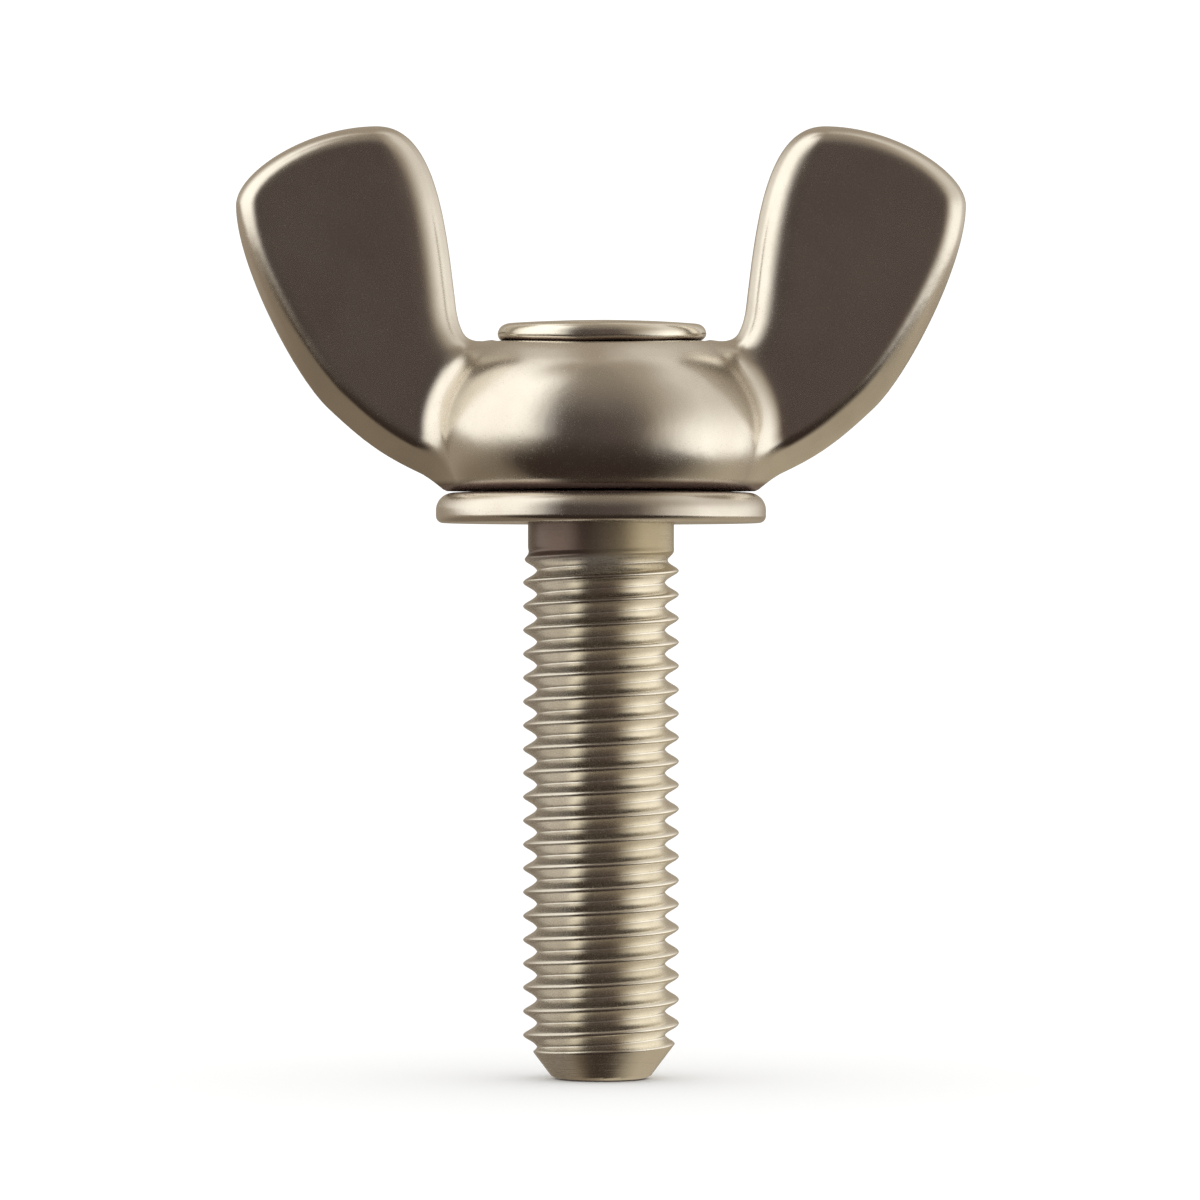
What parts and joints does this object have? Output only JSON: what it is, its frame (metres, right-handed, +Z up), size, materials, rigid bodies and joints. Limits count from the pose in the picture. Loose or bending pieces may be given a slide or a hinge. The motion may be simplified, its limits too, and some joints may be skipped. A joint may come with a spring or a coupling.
{
  "type": "wing bolt",
  "caption": "Wing bolt: a two-winged hand-tightening head riveted on a right-hand threaded stud, with a captive washer that spins under the hub.",
  "frame": {"origin": "centre of the washer's underside, which is the plane that clamps, on the stud's axis", "axes": "+Z up the stud's axis towards the wings, +X along the wings, +Y through the wings' flat faces"},
  "size_m": [0.046, 0.0208, 0.06],
  "materials": {
    "head_steel": "tumble-polished cold-forged stainless steel, warm tint, fine random scratches",
    "stud_steel": "rolled-thread stainless steel, bright flanks with fine lines that run round the thread",
    "washer_steel": "stamped and tumbled stainless steel, bright rolled upper edge"
  },
  "bodies": {
    "bolt": {"wing_head": "head_steel", "threaded_stud": "stud_steel"},
    "washer": {"washer": "washer_steel"}
  },
  "joints": [
    {"name": "washer_spin", "type": "hinge", "parent": "bolt", "child": "washer", "pos_m": [0, 0, 0], "axis": [0, 0, 1], "continuous": true}
  ]
}
